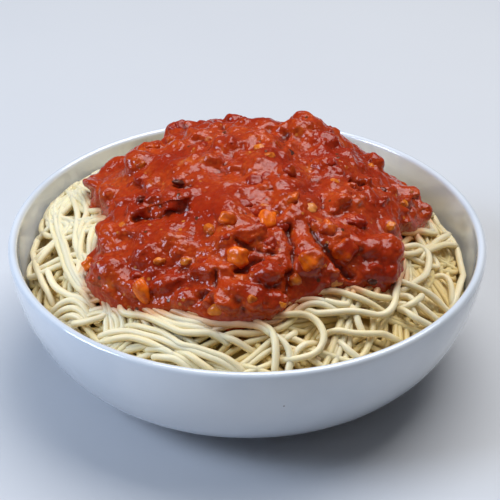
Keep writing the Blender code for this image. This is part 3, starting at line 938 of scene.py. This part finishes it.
def sauce_blob():
    """The corners and faces of the ladled sauce: a domed top over an underside that follows the heap."""
    turns = 2 * math.pi * np.arange(SAUCE_STEPS) / SAUCE_STEPS
    across, along = np.cos(turns), np.sin(turns)
    waver = np.zeros(SAUCE_STEPS)
    for pace, shift, amount in EDGE_WAVES:
        waver += [amount * noise.noise(Vector((pace * a, pace * b, shift))) for a, b in zip(across, along)]
    edge = round_the_bowl(SAUCE_EDGE, across, along) + EDGE_WAVER * waver
    levels = []
    for ring in range(1, SAUCE_RINGS + 1):
        out = math.sin(math.pi / 2 * ring / SAUCE_RINGS)
        x, y = out * edge * across, out * edge * along
        levels.append((x, y, sauce_top(x, y)))
    for ring in range(SAUCE_RINGS - UNDERSIDE_COARSER, 0, -UNDERSIDE_COARSER):
        out = math.sin(math.pi / 2 * ring / SAUCE_RINGS)
        x, y = out * edge * across, out * edge * along
        levels.append((x, y, heap_height(x, y) + GAP - SAUCE_SUNK * (1 - out * out)))
    middle = np.array([0.0])
    verts = [(0, 0, float(sauce_top(middle, middle)[0]))]
    for x, y, height in levels:
        verts.extend(zip(x.tolist(), y.tolist(), height.tolist()))
    verts.append((0, 0, float(heap_height(middle, middle)[0]) - SAUCE_SUNK))
    return verts, ringed_faces(SAUCE_STEPS, len(levels))


def round_template(fineness):
    """The corners and faces of a ball."""
    shape = bmesh.new()
    bmesh.ops.create_icosphere(shape, subdivisions=fineness, radius=1)
    verts = np.array([vert.co[:] for vert in shape.verts])
    faces = [tuple(vert.index for vert in face.verts) for face in shape.faces]
    shape.free()
    return verts, faces


LUMP_BALL = round_template(3)


def uneven(verts, amount, size, shift):
    """A ball with dents and bulges of this size."""
    swell = [1 + amount * noise.noise(Vector(vert) / size + Vector((shift, 0, -shift))) for vert in verts]
    return verts * np.array(swell)[:, None]


def turned_by(verts, tip, lean, spin):
    """A shape that is turned about its three axes, one after the other."""
    return verts @ np.array(Euler((tip, lean, spin)).to_matrix()).T


def sighted_on_sauce(across, down):
    """The place on the top of the sauce that is sighted at a point of the picture, or just below it."""
    while True:
        places = along_sight(across, down, FOOD_REACHES)
        x, y, z = places.T
        below = (np.hypot(x, y) < round_the_bowl(SAUCE_EDGE, x, y)) & (z < sauce_top(x, y))
        if below.any():
            return places[int(np.argmax(below))]
        down += 1


class Gathered:
    """Closed shapes that are gathered to be one piece."""

    def __init__(self):
        self.verts, self.faces = [], []

    def add(self, verts, faces):
        first = len(self.verts)
        self.verts.extend(np.asarray(verts).tolist())
        self.faces.extend(tuple(first + corner for corner in face) for face in faces)


LUMP_UNEVEN = 0.40
SIGHTED_DENTS = 1.2
SIGHTED_STRETCH = np.array((1.0, 1.05, 0.85))
# The way that a lump stands up, and how far it does where its middle is level with the sauce
STANDS_UP = np.array((0, -0.5, 0.85))
LEVEL_STAND = 0.6
STREWN_DENTS = 1.1
STREWN_STRETCH = ((0.85, 1.45), (0.7, 1.0), (0.45, 0.75))
# The share of its radius that a strewn lump keeps from the edge
WITHIN_EDGE = 0.55

draw = random.Random(31)
ladled = Gathered()
ladled.add(*sauce_blob())
for across, down, half_width, half_height, stand in SIGHTED_LUMPS:
    place = sighted_on_sauce(across, down)
    wide, tall = half_width / PIXELS_A_METRE, half_height / PIXELS_A_METRE
    lump = uneven(LUMP_BALL[0], LUMP_UNEVEN, SIGHTED_DENTS, draw.uniform(0, 90))
    lump = lump * (SIGHTED_STRETCH * (wide, tall, tall))
    lump = turned_by(lump, draw.uniform(-0.2, 0.5), draw.uniform(-0.3, 0.3), draw.uniform(-0.3, 0.3))
    ladled.add(lump + place + STANDS_UP * (stand - LEVEL_STAND) * tall, LUMP_BALL[1])
for count, smallest, largest, sunk in LUMP_FAMILIES:
    for _ in range(count):
        azimuth = draw.uniform(0, 2 * math.pi)
        out = math.sqrt(draw.uniform(0.0, 1.0))
        edge = float(round_the_bowl(SAUCE_EDGE, np.cos(azimuth), np.sin(azimuth)))
        size = draw.uniform(smallest, largest)
        reach = out * (edge - WITHIN_EDGE * size)
        x, y = reach * math.cos(azimuth), reach * math.sin(azimuth)
        z = float(sauce_top(np.array([x]), np.array([y]))[0]) - sunk * size * draw.uniform(0.6, 1.4)
        stretch = [draw.uniform(*limits) for limits in STREWN_STRETCH]
        lump = uneven(LUMP_BALL[0], LUMP_UNEVEN, STREWN_DENTS, draw.uniform(0, 90)) * stretch * size
        tip, lean = draw.uniform(-0.5, 0.5), draw.uniform(-0.5, 0.5)
        lump = turned_by(lump, tip, lean, draw.uniform(0, 2 * math.pi))
        ladled.add(lump + (x, y, z), LUMP_BALL[1])


SAUCE_BODY = (0.31, 0.018, 0.003)
SAUCE_BRIGHT = (0.47, 0.051, 0.006)
# Painted shade for the sauce's creases and hollows
SAUCE_PAINTED_SHADE = (0.12, 0.009, 0.004)
OILY_ORANGE = (0.60, 0.16, 0.025)
CRUMB_ORANGE = (0.56, 0.095, 0.014)
HERB_DARK = (0.06, 0.03, 0.012)
PIP_PALE = (0.62, 0.24, 0.04)

tomato = Finish("tomato_sauce")
crease_in_sauce = tomato.attribute("crease")
hollow_in_sauce = tomato.attribute("hollow")
drift = tomato.mottle(55.0, 4.0)
pulp = tomato.mottle(240.0, 4.0, rough=0.6)
fine_pulp = tomato.mottle(520.0, 1.5)
seeds = tomato.mottle(1500.0, 2.0)
red = tomato.blend(SAUCE_BODY, SAUCE_BRIGHT, (drift * 1.2 + pulp * 0.5 - 0.55).between(0.05, 0.65))
red = tomato.blend(red, OILY_ORANGE, tomato.mottle(110.0, 3.0).between(0.60, 0.80) * 0.55)
crumb = 1 - tomato.cells(520.0).between(0.20, 0.50)
red = tomato.blend(red, CRUMB_ORANGE, crumb * drift.between(0.35, 0.65) * 0.5)
# Painted shade: the sauce is painted darker in its creases and hollows
shade_in_hollows = crease_in_sauce * 0.45 + hollow_in_sauce * 0.55 + pulp * 0.5 - 0.25
red = tomato.blend(red, SAUCE_PAINTED_SHADE, shade_in_hollows.between(0.05, 1.0) * 0.85)
fleck_colour = tomato.cells(420.0, "Color")
fleck_place = tomato.cells(420.0)
fleck_pick = tomato.node("SeparateColor", {}, {0: fleck_colour}, "Red")
herb = fleck_pick.between(0.970, 0.975) * (1 - fleck_place.between(0.25, 0.42))
red = tomato.blend(red, HERB_DARK, herb * 0.8)
pale_pick = tomato.node("SeparateColor", {}, {0: fleck_colour}, "Green")
pip = pale_pick.between(0.972, 0.978) * (1 - fleck_place.between(0.22, 0.36))
red = tomato.blend(red, PIP_PALE, pip * 0.6)
sauce_material = tomato.make(
    Base_Color=red,
    Roughness=0.05 + pulp * 0.17,
    IOR=1.40,
    Subsurface_Weight=0.10,
    Subsurface_Radius=(1.0, 0.15, 0.06),
    Subsurface_Scale=0.0015,
    Normal=tomato.relief(pulp * 0.60 + fine_pulp * 0.70 + seeds * 0.05, 0.00060, 0.9),
)


def melted_together(shapes, voxel, material):
    """One skin round all of these shapes."""
    rough = mesh_piece("rough", shapes.verts, shapes.faces, material)
    remesh = rough.modifiers.new("Skin", "REMESH")
    remesh.mode = "VOXEL"
    remesh.voxel_size = voxel
    graph = bpy.context.evaluated_depsgraph_get()
    skin = bpy.data.meshes.new_from_object(rough.evaluated_get(graph))
    bpy.data.objects.remove(rough, do_unlink=True)
    return skin


def read_all(rows, name, width, kind=float):
    """What every row of a mesh holds under this name, such as the place of every corner."""
    values = np.empty(width * len(rows), dtype=kind)
    rows.foreach_get(name, values)
    return values.reshape(-1, width)


def places_and_normals(mesh):
    """The place of every corner of a skin, and the way that the skin faces there."""
    return read_all(mesh.vertices, "co", 3), read_all(mesh.vertex_normals, "vector", 3)


SETTLING = 0.5


def relaxed(places, edges, times):
    """The skin once it settles: each corner goes part of the way to the middle of those beside it."""
    start = np.concatenate([edges[:, 0], edges[:, 1]])
    end = np.concatenate([edges[:, 1], edges[:, 0]])
    count = np.bincount(start, minlength=len(places))[:, None]
    for _ in range(times):
        near = np.stack([np.bincount(start, places[end, part], len(places)) for part in range(3)], axis=1)
        places = places + SETTLING * (near / count - places)
    return places


def write_places(mesh, places):
    """Moves every corner of a mesh to its new place."""
    mesh.vertices.foreach_set("co", places.ravel())
    mesh.update()


FOLDS = (
    # how far it is pressed in, half width in the picture, and the points it runs through there
    (0.0030, 3.8, ((309, 222), (314, 231), (322, 240), (331, 251), (339, 264), (352, 277))),
    (0.0024, 3.4, ((289, 228), (292, 244), (292, 262), (289, 280), (287, 297))),
    (0.0024, 3.2, ((237, 271), (250, 268), (262, 262))),
    (0.0026, 3.2, ((136, 218), (152, 216), (168, 213), (186, 207))),
    (-0.0018, 3.4, ((139, 211), (153, 207), (168, 202), (186, 198))),
    (0.0040, 3.6, ((354, 181), (361, 185))),
    (0.0034, 3.4, ((176, 183), (190, 182))),
    (0.0015, 4.5, ((225, 122), (222, 140))),
    (0.0015, 4.5, ((287, 121), (282, 146))),
    (0.0024, 3.2, ((200, 298), (206, 290), (213, 284), (216, 270))),
    (0.0014, 3.0, ((236, 240), (247, 246), (262, 252), (276, 253))),
)


def in_picture(places):
    """Where these places are in the picture, across and down."""
    away = places - np.array(eye)
    scale = FOCAL / (away @ np.array(eye_ahead))
    across, down = scale * (away @ np.array(eye_right)), -scale * (away @ np.array(eye_up))
    return PICTURE / 2 + across, PICTURE / 2 + down


def off_the_line(across, down, points):
    """How far in the picture these places are from a line through some points."""
    nearest = np.full(len(across), np.inf)
    for (start_x, start_y), (end_x, end_y) in zip(points, points[1:]):
        run_x, run_y = end_x - start_x, end_y - start_y
        share = ((across - start_x) * run_x + (down - start_y) * run_y) / (run_x ** 2 + run_y ** 2)
        share = np.clip(share, 0, 1)
        off_x, off_y = across - start_x - share * run_x, down - start_y - share * run_y
        nearest = np.minimum(nearest, np.hypot(off_x, off_y))
    return nearest


# How squarely the skin has to face the camera to be pressed in fully
FACES_ENOUGH = 0.4
# The width and the height of each size of ripple
WET_RIPPLES = ((0.0060, 0.00055), (0.0026, 0.00038), (0.0014, 0.00030))
# The rounds of settling that find hollows of one size, and the depth of a full one. The finish paints shade
# into these hollows
HOLLOWS = {"crease": (5, 0.0003), "hollow": (45, 0.0015)}

sauce_skin = melted_together(ladled, SAUCE_VOXEL, sauce_material)
skin_edges = read_all(sauce_skin.edges, "vertices", 2, int)
places, _ = places_and_normals(sauce_skin)
write_places(sauce_skin, relaxed(places, skin_edges, 5))
places, normals = places_and_normals(sauce_skin)
picture_x, picture_y = in_picture(places)
pressed = sum(depth * np.exp(-(off_the_line(picture_x, picture_y, points) / width) ** 2)
              for depth, width, points in FOLDS)
facing = np.clip(-(normals @ np.array(eye_ahead)) / FACES_ENOUGH, 0, 1)
places = places - normals * (pressed * facing)[:, None]
write_places(sauce_skin, relaxed(places, skin_edges, 1))
places, normals = places_and_normals(sauce_skin)
ripple = np.zeros(len(places))
for size, height in WET_RIPPLES:
    ripple += height * np.array([noise.noise(Vector(place) / size) for place in places])
write_places(sauce_skin, places + normals * ripple[:, None])
places, normals = places_and_normals(sauce_skin)
for attribute, (rounds, full) in HOLLOWS.items():
    depths = ((relaxed(places, skin_edges, rounds) - places) * normals).sum(axis=1)
    keep_on_corners(sauce_skin, attribute, depths / full)
sauce_skin.shade_smooth()

sauce = bpy.data.objects.new("ladled_sauce", sauce_skin)
bpy.context.scene.collection.objects.link(sauce)
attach(sauce, "root")
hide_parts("sauce")


# The bits in the sauce: diced carrot, whole lentils, onion and slices of dark mushroom. They cook in
# the sauce, lie half sunk in it and keep a thin coat of it.
SIGHTED_BITS = (
    # kind, across and down in the picture, half width, half height, and how much sauce coats it
    ("lentil", 208, 228, 11, 5.5, 0), ("carrot", 228, 219, 9, 6, 0), ("carrot", 237, 256, 11, 9, -0.1),
    ("carrot", 267, 220, 11, 9, -0.1), ("carrot", 293, 198, 7, 6, 0.12), ("onion", 311, 207, 7, 6, 0),
    ("carrot", 329, 229, 9, 8, 0.15), ("carrot", 345, 250, 12, 10, 0.22), ("carrot", 312, 259, 11, 9, 0.10),
    ("lentil", 297, 281, 6, 7, 0.05), ("onion", 336, 284, 6, 4.5, -0.3), ("mushroom", 374, 282, 7, 5, 0.1),
    ("lentil", 215, 310, 9, 6, -0.1), ("carrot", 144, 292, 7, 10, 0), ("carrot", 88, 264, 6, 6, 0.1),
    ("lentil", 391, 225, 5, 5, -0.1), ("onion", 210, 139, 5, 4, 0.2), ("carrot", 172, 140, 7, 5, 0.1),
    ("lentil", 259, 147, 6, 5, -0.1), ("lentil", 270, 155, 6, 4, 0), ("mushroom", 180, 183, 9, 3.5, 0.1),
    ("mushroom", 327, 248, 6, 8, 0.1), ("lentil", 372, 166, 5, 5, 0), ("lentil", 335, 181, 6, 5, 0),
    ("mushroom", 292, 152, 5, 5, 0.1), ("lentil", 122, 225, 6, 4, 0), ("lentil", 252, 300, 5, 4, 0),
    ("lentil", 160, 262, 6, 4, 0), ("lentil", 283, 305, 4, 3, -0.1), ("lentil", 405, 203, 6, 5, 0),
    ("lentil", 140, 165, 6, 4, 0.1), ("lentil", 185, 262, 6, 4, 0),
)
STREWN_BITS = (
    # kind, how many, smallest and largest radius
    ("carrot", 14, 0.0024, 0.0034), ("lentil", 34, 0.0022, 0.0030), ("onion", 8, 0.0018, 0.0026),
    ("mushroom", 9, 0.0028, 0.0042),
)
BIT_SHAPES = {
    # squareness, then width, depth and thickness
    "carrot": (2.8, (1.0, 0.95, 0.85)),
    "lentil": (2.2, (1.0, 0.85, 0.55)),
    "onion": (3.0, (1.0, 0.75, 0.40)),
    "mushroom": (2.6, (1.0, 0.65, 0.45)),
}
BIT_UNEVEN = 0.30
BIT_DENTS = 0.9
BIT_BALL = round_template(4)
# How deep a bit is sunk, as a share of its half height where it is sighted, and else of its radius
SIGHTED_SUNK = 0.38
STREWN_SUNK = 0.50
STREWN_WITHIN = 0.97
STREWN_COAT = (0.2, 0.6)
DROPPED_FROM = 0.15


def bit_shape(kind, half_sizes, draw):
    """One bit of this kind, rounded by cooking."""
    squareness, stretch = BIT_SHAPES[kind]
    verts, _ = BIT_BALL
    reach = (np.abs(verts) ** squareness).sum(axis=1) ** (-1 / squareness)
    made = uneven(verts * reach[:, None], BIT_UNEVEN, BIT_DENTS, draw.uniform(0, 90))
    return made * stretch * half_sizes


def bit_finish(name, fresh, cooked, coat_share):
    """The finish of a bit: its own flesh, cooked darker in places, under a broken coat of sauce."""
    made = Finish(name)
    coat = made.mottle(170.0, 3.0)
    flesh = made.mottle(420.0, 3.0)
    fine = made.mottle(1300.0, 2.0)
    body = made.blend(fresh, cooked, flesh.between(0.35, 0.70))
    coated = (coat + coat_share + made.attribute("coat") - 0.5).between(0.20, 0.70)
    return made.make(
        Base_Color=made.blend(body, SAUCE_BODY, coated),
        Roughness=0.11 + coat * 0.16,
        IOR=1.38,
        Subsurface_Weight=0.20,
        Subsurface_Radius=(1.0, 0.35, 0.12),
        Subsurface_Scale=0.0012,
        Normal=made.relief(flesh + fine * 0.4, 0.00020, 0.8),
    )


BIT_FINISHES = {
    "carrot": bit_finish("cooked_carrot", (0.88, 0.175, 0.008), (0.70, 0.105, 0.006), 0.34),
    "lentil": bit_finish("cooked_lentil", (0.78, 0.230, 0.018), (0.58, 0.130, 0.010), 0.36),
    "onion": bit_finish("cooked_onion", (0.76, 0.300, 0.075), (0.64, 0.190, 0.040), 0.22),
    "mushroom": bit_finish("cooked_mushroom", (0.11, 0.032, 0.016), (0.05, 0.014, 0.010), 0.12),
}
bits = {kind: Gathered() for kind in BIT_FINISHES}
coats = {kind: [] for kind in BIT_FINISHES}
sauce_tree = BVHTree.FromPolygons(
    read_all(sauce_skin.vertices, "co", 3).tolist(), [tuple(face.vertices) for face in sauce_skin.polygons]
)


def lay_bit(kind, place, facing, half_sizes, sunk, coat, draw):
    """Beds one bit in the skin of the sauce, with its flat side along the skin."""
    coats[kind].extend([coat] * len(BIT_BALL[0]))
    shape = bit_shape(kind, half_sizes, draw)
    shape = turned_by(shape, draw.uniform(-0.25, 0.25), draw.uniform(-0.25, 0.25), draw.uniform(-0.5, 0.5))
    lie = np.array(facing.to_track_quat("Z", "Y").to_matrix())
    middle = np.array(place) - np.array(facing) * sunk
    bits[kind].add(shape @ lie.T + middle, BIT_BALL[1])


draw = random.Random(77)
for kind, across, down, half_width, half_height, coat in SIGHTED_BITS:
    place, facing, _, _ = sauce_tree.ray_cast(eye, sight(across, down))
    while place is None:
        down -= 1
        place, facing, _, _ = sauce_tree.ray_cast(eye, sight(across, down))
    wide, tall = half_width / PIXELS_A_METRE, half_height / PIXELS_A_METRE
    half_sizes = (wide, 1.15 * tall, 0.6 * (wide + tall))
    lay_bit(kind, place, facing, half_sizes, SIGHTED_SUNK * tall, coat, draw)
for kind, count, smallest, largest in STREWN_BITS:
    for _ in range(count):
        azimuth = draw.uniform(0, 2 * math.pi)
        edge = float(round_the_bowl(SAUCE_EDGE, np.cos(azimuth), np.sin(azimuth)))
        reach = STREWN_WITHIN * math.sqrt(draw.random()) * edge
        start = Vector((reach * math.cos(azimuth), reach * math.sin(azimuth), DROPPED_FROM))
        place, facing, _, _ = sauce_tree.ray_cast(start, Vector((0, 0, -1)))
        size = draw.uniform(smallest, largest)
        if place is not None:
            coat = draw.uniform(*STREWN_COAT)
            lay_bit(kind, place, facing, (size, size, size), STREWN_SUNK * size, coat, draw)
for kind, shapes in bits.items():
    piece = mesh_piece(kind + "_bits", shapes.verts, shapes.faces, BIT_FINISHES[kind])
    keep_on_corners(piece.data, "coat", coats[kind])
    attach(piece, "root")
    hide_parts("sauce")


# Floor and lights: a plain pale floor under two soft boxes, a cool one low on the left and a larger
# one overhead, with a faint even light all round.
FLOOR_HALF = 1.6
FLOOR_COLOUR = (0.60, 0.61, 0.63)
FLOOR_CLOUD = (0.56, 0.57, 0.60)
SOFT_BOXES = (
    # name, place, power in watts, width, colour
    ("left_box", (-0.92, -0.22, 0.72), 9.8, 0.45, (0.65, 0.785, 1.0)),
    ("top_box", (0.20, 0.32, 1.08), 13.8, 0.90, (0.975, 0.985, 1.0)),
)
WORLD_LIGHT = 0.10
WORLD_COLOUR = (1.0, 0.98, 0.95)

plain_floor = Finish("plain_floor")
floor_material = plain_floor.make(
    Base_Color=plain_floor.blend(FLOOR_COLOUR, FLOOR_CLOUD, plain_floor.mottle(6.0, 3.0)),
    Roughness=0.65,
)
corners = [(x * FLOOR_HALF, y * FLOOR_HALF, 0) for x, y in ((-1, -1), (1, -1), (1, 1), (-1, 1))]
floor = mesh_piece("floor", corners, [(0, 1, 2, 3)], floor_material, smooth=False)
for name, place, energy, size, colour in SOFT_BOXES:
    box = bpy.data.lights.new(name, "AREA")
    box.energy = energy
    box.size = size
    box.color = colour
    stand = bpy.data.objects.new(name, box)
    stand.location = place
    stand.rotation_euler = Vector(place).to_track_quat("Z", "Y").to_euler()
    bpy.context.scene.collection.objects.link(stand)
world = bpy.data.worlds.new("studio")
world.use_nodes = True
backdrop = world.node_tree.nodes["Background"]
backdrop.inputs["Color"].default_value = (*WORLD_COLOUR, 1)
backdrop.inputs["Strength"].default_value = WORLD_LIGHT
bpy.context.scene.world = world
bpy.context.scene.view_settings.view_transform = "Standard"
